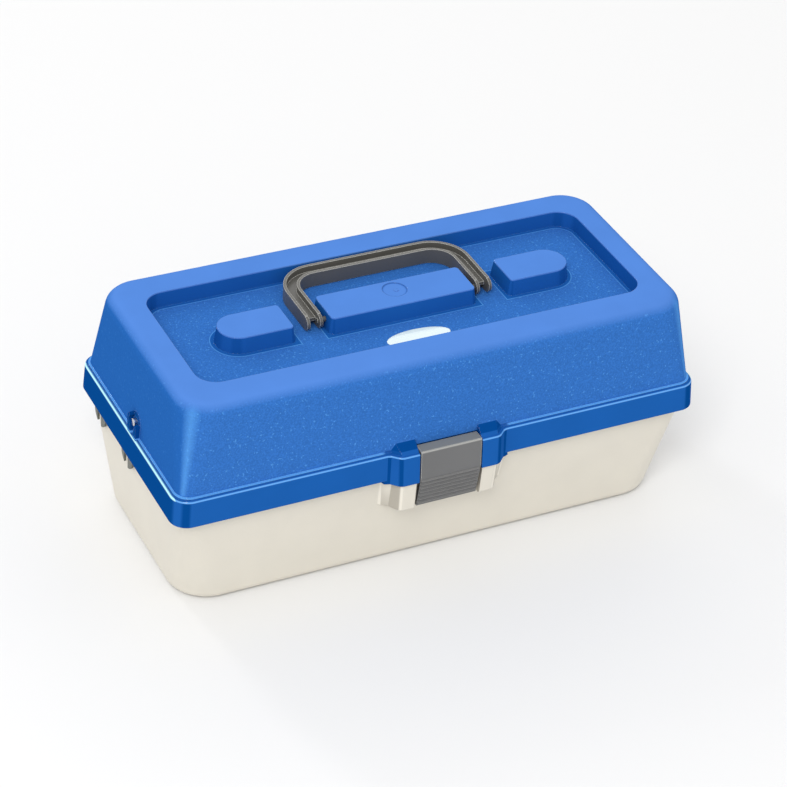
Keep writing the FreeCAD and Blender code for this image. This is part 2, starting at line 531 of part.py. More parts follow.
def u_outline(name, level, inset, end):
    """U in plan: two legs towards -Y joined by the grip bar, walls moved in by `inset`."""
    s = sketch(handle, "XY_Plane", name, level)
    xo, xi = size("handle_out") - inset, size("handle_in") + inset
    yo, yi = size("handle_bar_out") - inset, size("handle_bar_in") + inset
    ro = size("handle_bend") - inset
    ri = size("handle_bend") - size("handle_out") + size("handle_in") + inset
    k = 0.7071067811865476
    co, ci = V(xo - ro, yo - ro, 0), V(xi - ri, yi - ri, 0)

    def turn(c, r, sx):
        c = V(sx * c.x, c.y, 0)
        return Part.Arc(c + V(sx * r, 0, 0), c + V(sx * r * k, r * k, 0), c + V(0, r, 0))
    y = size(end)
    parts = [Part.LineSegment(V(xo, y, 0), V(xo, co.y, 0)), turn(co, ro, 1),
             Part.LineSegment(V(co.x, yo, 0), V(-co.x, yo, 0)), turn(co, ro, -1),
             Part.LineSegment(V(-xo, co.y, 0), V(-xo, y, 0)), Part.LineSegment(V(-xo, y, 0), V(-xi, y, 0)),
             Part.LineSegment(V(-xi, y, 0), V(-xi, ci.y, 0)), turn(ci, ri, -1),
             Part.LineSegment(V(-ci.x, yi, 0), V(ci.x, yi, 0)), turn(ci, ri, 1),
             Part.LineSegment(V(xi, ci.y, 0), V(xi, y, 0)), Part.LineSegment(V(xi, y, 0), V(xo, y, 0))]
    for g in parts:
        s.addGeometry(g, False)
    for i in range(12):
        s.addConstraint(Sketcher.Constraint("Block", i))
    return s


extrude(handle, u_outline("section", H_LOW, 0.0, "handle_y"), "handle_high")
WALL = size("handle_flange")
extrude(handle, u_outline("upper", "lid_top-0.4-handle_channel", WALL, "handle_y-20"),
        "handle_channel+1", cut=True)
extrude(handle, u_outline("lower", "lid_top-1.4-handle_high", WALL, "handle_y-20"),
        "handle_high+1-handle_channel-handle_web", cut=True)
# rounded ears about the pivot, two on each leg
for side, word in SIDES:
    for x0 in ("handle_in", "handle_out-handle_flange"):
        tag = "%s_%s" % (x0[:9], word) if x0 == "handle_in" else "outer_" + word
        ear = disc(sketch(handle, "YZ_Plane", "ear_" + tag, "%d*(%s)" % (side, x0)), "handle_y",
                   "lid_top-handle_drop", "handle_ear")
        extrude(handle, ear, "handle_flange", back=side < 0)
# round the square ends of the legs back to the ears
for side, word in SIDES:
    top = disc(sketch(handle, "YZ_Plane", "arch_" + word, "%d*(handle_in+handle_flange)" % side),
               "handle_y-1.5", "lid_top-handle_drop", "4.2")
    extrude(handle, top, "handle_out-handle_in-2*handle_flange", cut=True, back=side < 0)
for side, word in SIDES:
    bore = disc(sketch(handle, "YZ_Plane", "bore_" + word, "%d*(handle_in-1)" % side), "handle_y",
                "lid_top-handle_drop", "handle_stud+run_fit")
    extrude(handle, bore, "handle_flange+2", cut=True, back=side < 0)
for side, word in SIDES:
    spindle("handle_pin_" + word, side,
            [("boss_hx-3.2", "handle_in+handle_flange+0.5", "handle_stud")],
            "handle_y", "lid_top-handle_drop")

# ---------------------------------------------------------------- latch
latch = new_body("latch")
profile = polygon(sketch(latch, "YZ_Plane", "plate"), [
    ("-80.9", "94.0"), ("-88.2", "94.0"), ("-88.7", "93.5"), ("-90.2", "75"), ("-90.2", "74"),
    ("-86.4", "51.4"), ("-84.4", "51.7"), ("-87.9", "73.6"), ("-86.6", "90.6"), ("-85.6", "91.6"),
    ("latch_pin_y", "91.6"), ("latch_pin_y+2.1", "91.4"), ("latch_pin_y+2.1", "93.0")])
extrude(latch, profile, "2*latch_hx", mid=True)
barrel = disc(sketch(latch, "YZ_Plane", "barrel"), "latch_pin_y", "latch_pin_z", "2.2")
extrude(latch, barrel, "2*latch_hx", mid=True)
# snap nub behind the plate, below the catch ledge, on two short gussets
nub = polygon(sketch(latch, "YZ_Plane", "nub"), [("-86.6", "60.3"), ("-84.65", "59.6"),
                                                 ("-84.65", "57.6"), ("-86.6", "56.0")])
extrude(latch, nub, "28", mid=True)
# grip ribs on the sloping lower part
for i in range(7):
    z, y = 72.4 - 3.1 * i, -90.2 + (74.0 - (72.4 - 3.1 * i)) * 3.8 / 22.6
    rib = polygon(sketch(latch, "YZ_Plane", "rib%d" % i), [
        ("%.3f" % (y + 0.5), "%.3f" % (z + 0.9)), ("%.3f" % (y - 0.85), "%.3f" % (z + 0.2)),
        ("%.3f" % (y - 0.75), "%.3f" % (z - 0.4)), ("%.3f" % (y + 0.7), "%.3f" % (z - 1.0))])
    extrude(latch, rib, "2*latch_hx-1.2", mid=True)
bore = disc(sketch(latch, "YZ_Plane", "bore"), "latch_pin_y", "latch_pin_z", "latch_pin_rad+run_fit")
extrude(latch, bore, "2*latch_hx+4", cut=True, mid=True)
pin = new_body("latch_pin")
extrude(pin, disc(sketch(pin, "YZ_Plane", "shaft"), "latch_pin_y", "latch_pin_z", "latch_pin_rad"),
        "47.2", mid=True)

# ---------------------------------------------------------------- pins and pegs
for side, word in SIDES:
    spindle("hinge_pin_" + word, side,
            [("knuckle_a-0.6", "knuckle_d+0.6", "hinge_pin_rad"),
             ("knuckle_d+0.3", "knuckle_d+1.5", "hinge_pin_rad+0.8")], "hinge_y", "hinge_z")
    spindle("lid_pin_" + word, side,
            [("link_in-1.1", "link_in-0.2", "lidpin_rad+1.1"),
             ("link_in-0.5", "skirt_hx-3", "lidpin_rad"),
             ("link_in+arm_thick+0.2", "link_in+arm_thick+1", "lidpin_rad+1.3"),
             ("skirt_hx-4.85", "skirt_hx-2.5", "lidpin_rad+1.0")], "lidpin_y", "lidpin_z")
    for place in ("rear", "front"):
        y = "peg_%s_y" % place
        peg = spindle("peg_%s_%s" % (place, word), side,
                      [("arm_in-1.1", "arm_in-0.2", "journal_rad+1.6"),
                       ("arm_in-0.5", "arm_in+arm_thick+0.5", "journal_rad"),
                       ("arm_in+arm_thick+0.2", "tub_hx-3.5", "journal_rad+3"),
                       ("tub_hx-4", "tub_hx+0.5", "peg_rad")], y, "peg_z")
        head = disc(sketch(peg, "YZ_Plane", "head", "%d*(tub_hx+0.1)" % side), y + "+0.3",
                    "peg_z-peg_head_drop", "peg_head")
        extrude(peg, head, "peg_head_thick", back=side < 0)
        gap = polygon(sketch(peg, "YZ_Plane", "gap", "%d*(tub_hx+0.05)" % side),
                      [(y + "+peg_gap_front", "peg_z-12"), (y + "+peg_gap_rear", "peg_z-12"),
                       (y + "+peg_gap_rear", "peg_z-0.5"), (y + "+peg_gap_front", "peg_z-0.5")])
        extrude(peg, gap, "4", cut=True, back=side < 0)

# ---------------------------------------------------------------- arms and links
hy, hz = size("hinge_y"), size("hinge_z")
py, pz = size("lidpin_y"), size("lidpin_z")
CRANK = V(0, py - hy, pz - hz)
LINK = V(0, hy - size("peg_rear_y"), hz - size("peg_z"))
LONG, REACH = CRANK.Length, size("arm_reach")


def strip(name, side, x_in, start, along, length, half, holes):
    """Flat bar with round ends in a plane x = constant, from `start` in the direction `along`."""
    body = new_body(name)
    s = rounded(sketch(body, "XY_Plane", "outline"), "-(%s)" % half, "%.6f+(%s)" % (length, half),
                "-(%s)" % half, half, "(%s)-0.05" % half)
    extrude(body, s, "arm_thick")
    for i, (at, r) in enumerate(holes):
        extrude(body, disc(sketch(body, "XY_Plane", "hole%d" % i, "-1"), "%.6f" % at, "0", r),
                "arm_thick+2", cut=True)
    x_axis = V(along).normalize()
    turn = FreeCAD.Rotation(x_axis, V(1, 0, 0).cross(x_axis), V(1, 0, 0), "XZY")
    x = size(x_in) if side > 0 else -size(x_in) - size("arm_thick")
    body.Placement = FreeCAD.Placement(V(x, start.y, start.z), turn)
    return body


def tray_pin_at(place):
    return V(0, size("peg_%s_y" % place), size("peg_z")) + CRANK * (REACH / LONG)


for side, word in SIDES:
    rear = V(0, size("peg_rear_y"), size("peg_z"))
    front = V(0, size("peg_front_y"), size("peg_z"))
    play = "run_fit" if side < 0 else "open_fit"
    strip("arm_rear_" + word, side, "arm_in", rear, CRANK, LONG, "arm_half",
          [(0, "journal_rad+run_fit"), (REACH, "traypin_rad+" + play), (LONG, "traypin_rad+0.03")])
    strip("arm_front_" + word, side, "arm_in", front, CRANK, REACH, "arm_half",
          [(0, "journal_rad+run_fit"), (REACH, "traypin_rad+open_fit")])
    strip("link_" + word, side, "link_in", rear + CRANK, LINK, LINK.Length, "link_half",
          [(0, "traypin_rad+open_fit"), (LINK.Length, "lidpin_rad+run_fit")])
    knee = rear + CRANK
    spindle("link_pin_" + word, side,
            [("arm_in-0.95", "arm_in-0.02", "traypin_rad+1.4"),
             ("arm_in-0.5", "link_in+arm_thick+0.5", "traypin_rad"),
             ("link_in+arm_thick+0.2", "link_in+arm_thick+0.9", "traypin_rad+1.2")],
            "%.6f" % knee.y, "%.6f" % knee.z)
    for place in ("rear", "front"):
        at = tray_pin_at(place)
        spindle("tray_pin_%s_%s" % (place, word), side,
                [("tray_hx-tray_wall-1", "tray_hx-tray_wall-0.02", "traypin_rad+1.4"),
                 ("tray_hx-tray_wall-0.5", "arm_in+arm_thick+0.4", "traypin_rad"),
                 ("tray_hx+0.02", "arm_in-0.2", "traypin_rad+1.2"),
                 ("arm_in+arm_thick+0.12", "arm_in+arm_thick+0.75", "traypin_rad+1.1")],
                "%.6f" % at.y, "%.6f" % at.z)

# ---------------------------------------------------------------- tray
tray = new_body("tray_shell")
T_LOW = ("-tray_hx", "tray_hx", "tray_front+tray_draft", "tray_back-tray_draft")
T_TOP = ("-tray_hx", "tray_hx", "tray_front", "tray_back")
blend(tray, [rounded(sketch(tray, "XY_Plane", "low", "tray_low"), *T_LOW, "6"),
             rounded(sketch(tray, "XY_Plane", "top", "tray_top"), *T_TOP, "6")])


def inside(rect):
    return ("%s+tray_wall" % rect[0], "%s-tray_wall" % rect[1], "%s+tray_wall" % rect[2],
            "%s-tray_wall" % rect[3])


blend(tray, [rounded(sketch(tray, "XY_Plane", "in_low", "tray_low+tray_floor"), *inside(T_LOW), "4.4"),
             rounded(sketch(tray, "XY_Plane", "in_top", "tray_top+0.01"), *inside(T_TOP), "4.4")], cut=True)
extrude(tray, polygon(sketch(tray, "XY_Plane", "long_rib", "tray_low+1"), [
    ("-tray_hx+1", "rib_y-rib_thick/2"), ("tray_hx-1", "rib_y-rib_thick/2"),
    ("tray_hx-1", "rib_y+rib_thick/2"), ("-tray_hx+1", "rib_y+rib_thick/2")]), "rib_top-tray_low-1")
for i, x in enumerate(("-110", "-55", "0", "55", "110")):
    extrude(tray, polygon(sketch(tray, "XY_Plane", "cross_rib%d" % i, "tray_low+1"), [
        (x + "-rib_thick/2", "tray_front+3"), (x + "+rib_thick/2", "tray_front+3"),
        (x + "+rib_thick/2", "rib_y"), (x + "-rib_thick/2", "rib_y")]), "rib_top-tray_low-1")
for y in ("rear", "front"):
    at = tray_pin_at(y)
    extrude(tray, disc(sketch(tray, "YZ_Plane", "bore_" + y), "%.6f" % at.y, "%.6f" % at.z,
                       "traypin_rad+0.03"), "2*tray_hx+10", cut=True, mid=True)
for i, x in enumerate(("-82", "0", "82")):
    wall = new_body("tray_divider_%d" % (i + 1))
    s = polygon(sketch(wall, "YZ_Plane", "plate", x), [
        ("rib_y+rib_thick/2+0.25", "tray_low+tray_floor+0.05"),
        ("tray_back-tray_draft-tray_wall-0.25", "tray_low+tray_floor+0.05"),
        ("tray_back-tray_wall-0.75", "rib_top"), ("rib_y+rib_thick/2+0.25", "rib_top")])
    extrude(wall, s, "1.4", mid=True)

# ---------------------------------------------------------------- checks and export
doc.recompute()
bad = [o.Name for o in doc.Objects if "Invalid" in o.State or "Error" in o.State]
if bad:
    raise RuntimeError("failed objects: %s" % bad)
nodes = [o for o in doc.Objects if o.TypeId == "PartDesign::Body" and o is not core] + [label]
for o in nodes:
    shape = o.Shape
    if shape.isNull() or not shape.isValid() or len(shape.Solids) != 1:
        raise RuntimeError("bad shape in %s: %d solids" % (o.Label, len(shape.Solids)))
for o in nodes:
    o.Shape.exportStep("parts/%s.step" % o.Label)
print("%d nodes written" % len(nodes))
whole = Part.makeCompound([o.Shape for o in nodes]).BoundBox
print("box %.2f..%.2f  %.2f..%.2f  %.2f..%.2f" % (whole.XMin, whole.XMax, whole.YMin, whole.YMax,
                                                  whole.ZMin, whole.ZMax))
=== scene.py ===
"""Moulded tackle box with a folding handle, a front latch and a tray on parallel arms."""
import math
from collections import namedtuple

import bpy
import numpy as np
from mathutils import Matrix, Vector


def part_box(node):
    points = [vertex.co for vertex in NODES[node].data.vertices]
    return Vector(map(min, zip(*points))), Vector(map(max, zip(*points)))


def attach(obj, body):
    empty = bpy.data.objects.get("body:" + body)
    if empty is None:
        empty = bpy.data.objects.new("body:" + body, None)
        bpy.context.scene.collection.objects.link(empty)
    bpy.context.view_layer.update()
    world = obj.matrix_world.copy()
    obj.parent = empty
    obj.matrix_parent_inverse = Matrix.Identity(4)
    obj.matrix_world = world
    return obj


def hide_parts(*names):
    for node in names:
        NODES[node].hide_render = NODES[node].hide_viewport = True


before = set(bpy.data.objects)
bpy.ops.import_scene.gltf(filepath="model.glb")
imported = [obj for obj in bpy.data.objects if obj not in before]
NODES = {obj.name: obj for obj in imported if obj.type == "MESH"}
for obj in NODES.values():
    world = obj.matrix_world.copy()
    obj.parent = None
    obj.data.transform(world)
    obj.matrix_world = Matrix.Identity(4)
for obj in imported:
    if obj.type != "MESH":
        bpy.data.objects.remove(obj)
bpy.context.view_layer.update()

bl_info = {
    "name": "Tackle Box Dresser",
    "version": (1, 0, 0),
    "blender": (4, 5, 0),
    "location": "View3D > Sidebar > Tackle Box",
    "description": "Dresses the solids of a moulded tackle box with finishes, trim and a plain stage",
    "category": "Object",
}


# ------------------------------------------------------------------ settings
class MouldingColours(bpy.types.PropertyGroup):
    """Colours of the moulded parts."""
    lid_skirt: bpy.props.FloatVectorProperty(
        name="Lid skirt", description="Deep blue of the lid's polished skirt", subtype="COLOR",
        size=3, min=0.0, max=1.0, default=(0.012, 0.106, 0.395))
    # painted shade: the deepest blue, put on polished faces turned to the ends and on the fairings
    lid_end_painted_shade: bpy.props.FloatVectorProperty(
        name="Lid, deep", description="Deepest blue, on polished faces turned to the ends", subtype="COLOR",
        size=3, min=0.0, max=1.0, default=(0.002, 0.062, 0.265))
    # painted light: a lighter blue on the lid's top faces, the rim and the pad tops, where the light from
    # above falls
    lid_top_lit: bpy.props.FloatVectorProperty(
        name="Lid rim", description="Lighter blue of the lid's satin rim and pads", subtype="COLOR",
        size=3, min=0.0, max=1.0, default=(0.085, 0.228, 0.640))
    lid_grained: bpy.props.FloatVectorProperty(
        name="Lid, grained", description="Blue of the lid's grained walls and recess floor",
        subtype="COLOR", size=3, min=0.0, max=1.0, default=(0.034, 0.150, 0.480))
    # painted highlight: pale blue for the lid's thin edges, beads, upright corners and the glints in the
    # grain
    lid_edge_highlight: bpy.props.FloatVectorProperty(
        name="Lid edges", description="Pale blue of the lid's thin edges and beads", subtype="COLOR",
        size=3, min=0.0, max=1.0, default=(0.130, 0.420, 0.900))
    # painted highlight: near white along the brim of the lid's ends
    lid_end_highlight: bpy.props.FloatVectorProperty(
        name="Lid end lines", description="Near white of the brim along the lid's ends", subtype="COLOR",
        size=3, min=0.0, max=1.0, default=(0.480, 0.880, 0.950))
    tub: bpy.props.FloatVectorProperty(
        name="Tub", description="Cream of the tub's plastic", subtype="COLOR", size=3,
        min=0.0, max=1.0, default=(0.722, 0.683, 0.596))
    # painted reflection: dark colour for the flanks of the polished boss under the latch
    tub_flank_reflection: bpy.props.FloatVectorProperty(
        name="Tub boss flanks", description="Shaded flanks of the boss under the latch", subtype="COLOR",
        size=3, min=0.0, max=1.0, default=(0.270, 0.240, 0.195))
    handle: bpy.props.FloatVectorProperty(
        name="Handle", description="Grey of the handle", subtype="COLOR", size=3,
        min=0.0, max=1.0, default=(0.105, 0.101, 0.091))
    latch: bpy.props.FloatVectorProperty(
        name="Latch", description="Grey of the latch", subtype="COLOR", size=3,
        min=0.0, max=1.0, default=(0.136, 0.137, 0.139))
    # painted highlight: paler grey on the edges of the handle and latch
    edge_highlight: bpy.props.FloatVectorProperty(
        name="Worn edges", description="Paler grey of the edges of the handle and latch", subtype="COLOR",
        size=3, min=0.0, max=1.0, default=(0.600, 0.592, 0.550))
    tray: bpy.props.FloatVectorProperty(
        name="Tray", description="Pale plastic of the tray", subtype="COLOR", size=3,
        min=0.0, max=1.0, default=(0.640, 0.615, 0.540))
    label: bpy.props.FloatVectorProperty(
        name="Label", description="Pale blue white of the oval label", subtype="COLOR", size=3,
        min=0.0, max=1.0, default=(0.710, 0.830, 0.850))


class SurfaceDetail(bpy.types.PropertyGroup):
    """Sizes of the fine surface detail."""
    grain: bpy.props.FloatProperty(
        name="Grain size", description="Width of one bump of the moulded grain", unit="LENGTH",
        default=0.0011, min=0.0002, max=0.01)
    grain_height: bpy.props.FloatProperty(
        name="Grain height", description="Height of the moulded grain", unit="LENGTH",
        default=0.00010, min=0.0, max=0.001)
    edge: bpy.props.FloatProperty(
        name="Edge rounding", description="Radius of the soft edges of the mouldings", unit="LENGTH",
        default=0.0006, min=0.0, max=0.003)
    label_crown: bpy.props.FloatProperty(
        name="Label crown", description="Height of the label's dome", unit="LENGTH",
        default=0.0004, min=0.0, max=0.002)


class StageSettings(bpy.types.PropertyGroup):
    """Camera and lamps."""
    azimuth: bpy.props.FloatProperty(
        name="Azimuth", description="Camera's turn about the box", subtype="ANGLE",
        default=math.radians(-27.66))
    elevation: bpy.props.FloatProperty(
        name="Elevation", description="Camera's height above the horizon", subtype="ANGLE",
        default=math.radians(35.11))
    roll: bpy.props.FloatProperty(
        name="Roll", description="Camera's turn about its line of sight", subtype="ANGLE",
        default=math.radians(3.98))
    distance: bpy.props.FloatProperty(
        name="Distance", description="Camera to the middle of the box", unit="LENGTH",
        default=1.7572, min=0.1)
    lens: bpy.props.FloatProperty(
        name="Lens", description="Focal length of the camera in millimetres", default=125.26, min=1.0)
    key: bpy.props.FloatProperty(
        name="Key lamp", description="Power of the large lamp at the front left in watts",
        default=48.0, min=0.0)
    panel: bpy.props.FloatProperty(
        name="Back panel", description="Power of the panel mirrored by the level faces in watts",
        default=9.0, min=0.0)
    strip: bpy.props.FloatProperty(
        name="Strip lamp", description="Power of the tall lamp behind the left end in watts",
        default=12.0, min=0.0)
    fill: bpy.props.FloatProperty(
        name="Fill", description="Strength of the surrounding light", default=0.84, min=0.0)


def colours():
    """The scene's colour settings."""
    return bpy.context.scene.tackle_colours


def detail():
    """The scene's surface settings."""
    return bpy.context.scene.tackle_detail


# ------------------------------------------------------------------ where the finishes change
# Heights over the floor and distances from the box's middle planes, in metres.
class TubPlan:
    """Where the tub's finishes change."""
    wall_y, wall_lean = -0.0685, 0.1423     # front wall at the floor, and how far it leans out
    boss_half, boss_foot = 0.0480, 0.0490   # polished boss under the latch
    boss_step = 0.0003                      # least step by which it stands out from the wall


class LidPlan:
    """Where the lid's finishes change."""
    wall_x, wall_y, wall_lean = 0.18361, 0.08791, 0.0832    # end and front walls, carried down
    step = 0.0003                                           # least step that counts as proud
    wall_foot, wall_top = 0.0942, 0.1490
    recess_x, recess_y, recess_floor = 0.1530, 0.0545, 0.1412
    recess_corner_x, recess_corner_y, recess_corner = 0.1368, 0.0376, 0.0135
    boss_x, boss_y = 0.0510, 0.0150
    pad_flat, pad_nose, pad_round = 0.0733, 0.1066, 0.0147
    foot_highlight_band = 0.0022, 0.0028                              # painted highlight line round each foot
    brim = 0.0916, 0.0924                                   # rounding along the top of the skirt
    bead = 0.0932, 0.0940                                   # bead at the foot of the walls
    latch_half, latch_front = 0.0425, -0.0760               # stretch without a bead
    corner_x, corner_y, corner_lean = 0.19979, 0.10409, 0.3548
    corner_round, corner_shrink = 0.01618, 0.2716           # radius of the corners by height
    gleam, gleam_from = (0.0914, 0.0925), 0.1775            # painted highlight: the brightest line, along the ends
    fairing_foot = 0.0944
    rim_top, rim_foot = 0.1508, 0.1400
    dimple_x, dimple_y, dimple_top = 0.0009, 0.0034, 0.1500
    dimple_lip = 0.0072, 0.0081


# ------------------------------------------------------------------ materials
SOFT = 0.00015      # half the width over which one finish goes over into the next, in metres


class Sheet:
    """A material's node sheet with short ways to add and join nodes."""

    def __init__(self, name):
        self.material = bpy.data.materials.new(name)
        self.material.use_nodes = True
        self.tree = self.material.node_tree
        self.shader = self.tree.nodes["Principled BSDF"]
        coordinates = self.add("ShaderNodeTexCoord")
        self.place = coordinates.outputs["Object"]
        self.facing = coordinates.outputs["Normal"]

    def add(self, kind, **values):
        """New node with its settings and sockets filled in by name."""
        node = self.tree.nodes.new(kind)
        for key, value in values.items():
            if hasattr(node, key):
                setattr(node, key, value)
            else:
                node.inputs[key.replace("_", " ")].default_value = value
        return node

    def join(self, source, target):
        """Link from an output to an input."""
        self.tree.links.new(source, target)

    def feed(self, **sources):
        """Links to the shader's own sockets by name."""
        for key, source in sources.items():
            self.join(source, self.shader.inputs[key.replace("_", " ")])

    def noise(self, width, detail_levels=2.0, rough=0.5):
        """Noise whose cells are about `width` metres across."""
        node = self.add("ShaderNodeTexNoise", Scale=1.0 / width, Detail=detail_levels, Roughness=rough)
        self.join(self.place, node.inputs["Vector"])
        return node.outputs["Fac"]

    def parts(self, vector):
        """X, Y and Z of a vector."""
        node = self.add("ShaderNodeSeparateXYZ")
        self.join(vector, node.inputs[0])
        return node.outputs

    def across(self):
        """Distances from the object's middle planes along X and Y, and the height."""
        x, y, z = self.parts(self.place)
        return self.maths("ABSOLUTE", x), self.maths("ABSOLUTE", y), z

    def shift(self, start, axis):
        """Coordinate along one axis, counted from `start`."""
        return self.maths("SUBTRACT", self.parts(self.place)[axis], start)

    def sideways(self):
        """How far the surface faces the object's ends: 0 for the front and top, 1 for the ends."""
        return self.maths("ABSOLUTE", self.parts(self.facing)[0])

    def maths(self, operation, *values, clamp=False):
        """Result of a Math node on numbers and outputs."""
        node = self.add("ShaderNodeMath", operation=operation, use_clamp=clamp)
        for socket, value in zip(node.inputs, values):
            if isinstance(value, (int, float)):
                socket.default_value = value
            else:
                self.join(value, socket)
        return node.outputs[0]

    def product(self, *factors):
        """All the factors multiplied."""
        total = factors[0]
        for factor in factors[1:]:
            total = self.maths("MULTIPLY", total, factor)
        return total

    def past(self, source, start):
        """Source minus the start."""
        return self.maths("SUBTRACT", source, start)

    def most(self, first, second):
        """The greater of the two."""
        return self.maths("MAXIMUM", first, second)

    def least(self, first, second):
        """The smaller of the two."""
        return self.maths("MINIMUM", first, second)

    def inverse(self, share):
        """1 minus the share."""
        return self.maths("SUBTRACT", 1.0, share)

    def length(self, first, second):
        """Square root of the sum of the squares."""
        total = self.maths("ADD", self.product(first, first), self.product(second, second))
        return self.maths("SQRT", total)

    def over(self, source, level, soft=SOFT):
        """0 under the level and 1 over it."""
        return self.spread(source, level - soft, level + soft, 0.0, 1.0)

    def under(self, source, level, soft=SOFT):
        """1 under the level and 0 over it."""
        return self.spread(source, level - soft, level + soft, 1.0, 0.0)

    def between(self, source, low, high, soft=SOFT):
        """1 between the two levels and 0 outside them."""
        return self.product(self.over(source, low, soft), self.under(source, high, soft))

    def blend(self, share, first, second):
        """Colour that goes from the first to the second by the share."""
        node = self.add("ShaderNodeMix", data_type="RGBA")
        # a Mix node has a set of sockets for each data type, and these belong to colours
        share_socket, first_socket, second_socket = (node.inputs[i] for i in (0, 6, 7))
        self.join(share, share_socket)
        for socket, value in ((first_socket, first), (second_socket, second)):
            if isinstance(value, bpy.types.NodeSocket):
                self.join(value, socket)
            else:
                socket.default_value = list(value) + [1.0]
        return node.outputs[2]

    def spread(self, source, low, high, a, b):
        """Source between low and high mapped onto a..b."""
        node = self.add("ShaderNodeMapRange")
        for key, value in (("From Min", low), ("From Max", high), ("To Min", a), ("To Max", b)):
            node.inputs[key].default_value = value
        self.join(source, node.inputs["Value"])
        return node.outputs["Result"]

    def ramp(self, source, colour, darker, lighter, start=0.30, end=0.70):
        """Colour ramp about `colour`, from a darker to a lighter share of it."""
        node = self.add("ShaderNodeValToRGB")
        low, high = node.color_ramp.elements
        low.position, high.position = start, end
        low.color = [c * darker for c in colour] + [1.0]
        high.color = [min(1.0, c * lighter) for c in colour] + [1.0]
        self.join(source, node.inputs["Fac"])
        return node.outputs["Color"]

    def edge_share(self, rounded):
        """1 on the shoulders of the rounded edges and 0 on the faces between them."""
        turn = self.add("ShaderNodeVectorMath", operation="DOT_PRODUCT")
        self.join(rounded, turn.inputs[0])
        self.join(self.add("ShaderNodeNewGeometry").outputs["True Normal"], turn.inputs[1])
        return self.spread(turn.outputs["Value"], 0.90, 0.985, 1.0, 0.0)

    def soft_edges(self, radius):
        """Normal that rounds the edges off by the radius."""
        node = self.add("ShaderNodeBevel", samples=6)
        node.inputs["Radius"].default_value = radius
        return node.outputs["Normal"]

    def bump(self, source, height, normal=None):
        """Normal of a relief of the given height, laid over another normal."""
        node = self.add("ShaderNodeBump", Strength=1.0, Distance=height)
        self.join(source, node.inputs["Height"])
        if normal is not None:
            self.join(normal, node.inputs["Normal"])
        return node.outputs["Normal"]

    def finish(self, normal, **sockets):
        """The material, with its normal joined and its plain sockets filled in."""
        self.join(normal, self.shader.inputs["Normal"])
        for key, value in sockets.items():
            self.shader.inputs[key.replace("_", " ")].default_value = value
        return self.material


# an edge between two levels: its height, the colour above it and the colour of a painted highlight along the
# edge itself
Crown = namedtuple("Crown", "height colour edge")
# a row of ribs: its upper end, the pitch and the colour of the shaded undersides
Ribs = namedtuple("Ribs", "top pitch shade")


def moulded(name, colour, rough, grain, height, mottle=0.05, edge_highlight=None, crown=None, ribs=None):
    """Injection moulded plastic: faint mottling, fine grain and softly rounded edges.

    The edge highlight, when given, is a paler colour painted on the edges as a highlight. Each rib's
    underside gets painted shade in a band of the wave whose period is the pitch, and faces turned to the
    ends get painted shade below the upper end of the ribs."""
    s = Sheet(name)
    tone = s.ramp(s.noise(0.030, 3.0), colour, 1.0 - mottle, 1.0 + mottle)
    fine = s.noise(grain, 2.0, 0.55)
    normal = s.soft_edges(detail().edge)
    share = s.edge_share(normal)
    level = s.across()[2]
    if crown is not None:
        tone = s.blend(s.over(level, crown.height), tone, crown.colour)
        # painted highlight: a pale line along the edge
        line = s.between(level, crown.height - 0.0007, crown.height + 0.0004, 0.0003)
        tone = s.blend(s.product(line, 0.7), tone, crown.edge)
    if ribs is not None:
        wave = s.maths("WRAP", s.maths("SUBTRACT", ribs.top, level), ribs.pitch, 0.0)
        dark = s.between(wave, 0.14 * ribs.pitch, 0.42 * ribs.pitch, 0.08 * ribs.pitch)
        dark = s.most(s.product(dark, 0.65), s.over(s.sideways(), 0.90, 0.04))
        tone = s.blend(s.product(dark, s.under(level, ribs.top)), tone, ribs.shade)
        share = s.product(share, s.spread(level, ribs.top + 0.0012, ribs.top + 0.0020, 0.25, 1.0))
    # painted highlight: the paler colour on the edges
    if edge_highlight is not None:
        tone = s.blend(share, tone, edge_highlight)
    gloss = s.spread(s.noise(0.012, 2.0), 0.3, 0.7, rough - 0.03, rough + 0.04)
    s.feed(Base_Color=tone, Roughness=gloss)
    return s.finish(s.bump(fine, height, normal))


def metal(name, colour, rough, stretch):
    """Drawn metal: streaks of noise stretched along one axis, in the colour and the gloss."""
    s = Sheet(name)
    mapping = s.add("ShaderNodeMapping")
    mapping.inputs["Scale"].default_value = stretch
    s.join(s.place, mapping.inputs["Vector"])
    noise = s.add("ShaderNodeTexNoise", Scale=1400.0, Detail=3.0, Roughness=0.6)
    s.join(mapping.outputs["Vector"], noise.inputs["Vector"])
    streak = noise.outputs["Fac"]
    gloss = s.spread(streak, 0.3, 0.7, rough - 0.06, rough + 0.08)
    s.feed(Base_Color=s.ramp(streak, colour, 0.88, 1.08), Roughness=gloss)
    return s.finish(s.bump(streak, 0.00001, s.soft_edges(0.0002)), Metallic=1.0)


def dress(material, *names):
    """Puts a material on CAD nodes."""
    for name in names:
        slots = NODES[name].data.materials
        slots.clear()
        slots.append(material)


# ------------------------------------------------------------------ surfaces
def ring_faces(rows, columns):
    """Quads of a grid of rows by columns points whose columns close on themselves."""
    r, c = np.meshgrid(np.arange(rows - 1), np.arange(columns), indexing="ij")
    following = (c + 1) % columns
    low, high = r * columns, (r + 1) * columns
    return np.stack([low + c, low + following, high + following, high + c], axis=-1).reshape(-1, 4)


def fan_faces(tip, ring):
    """Triangles from one point to each side of a ring of points."""
    return np.stack([np.full(len(ring), tip), ring, np.roll(ring, -1)], axis=1)


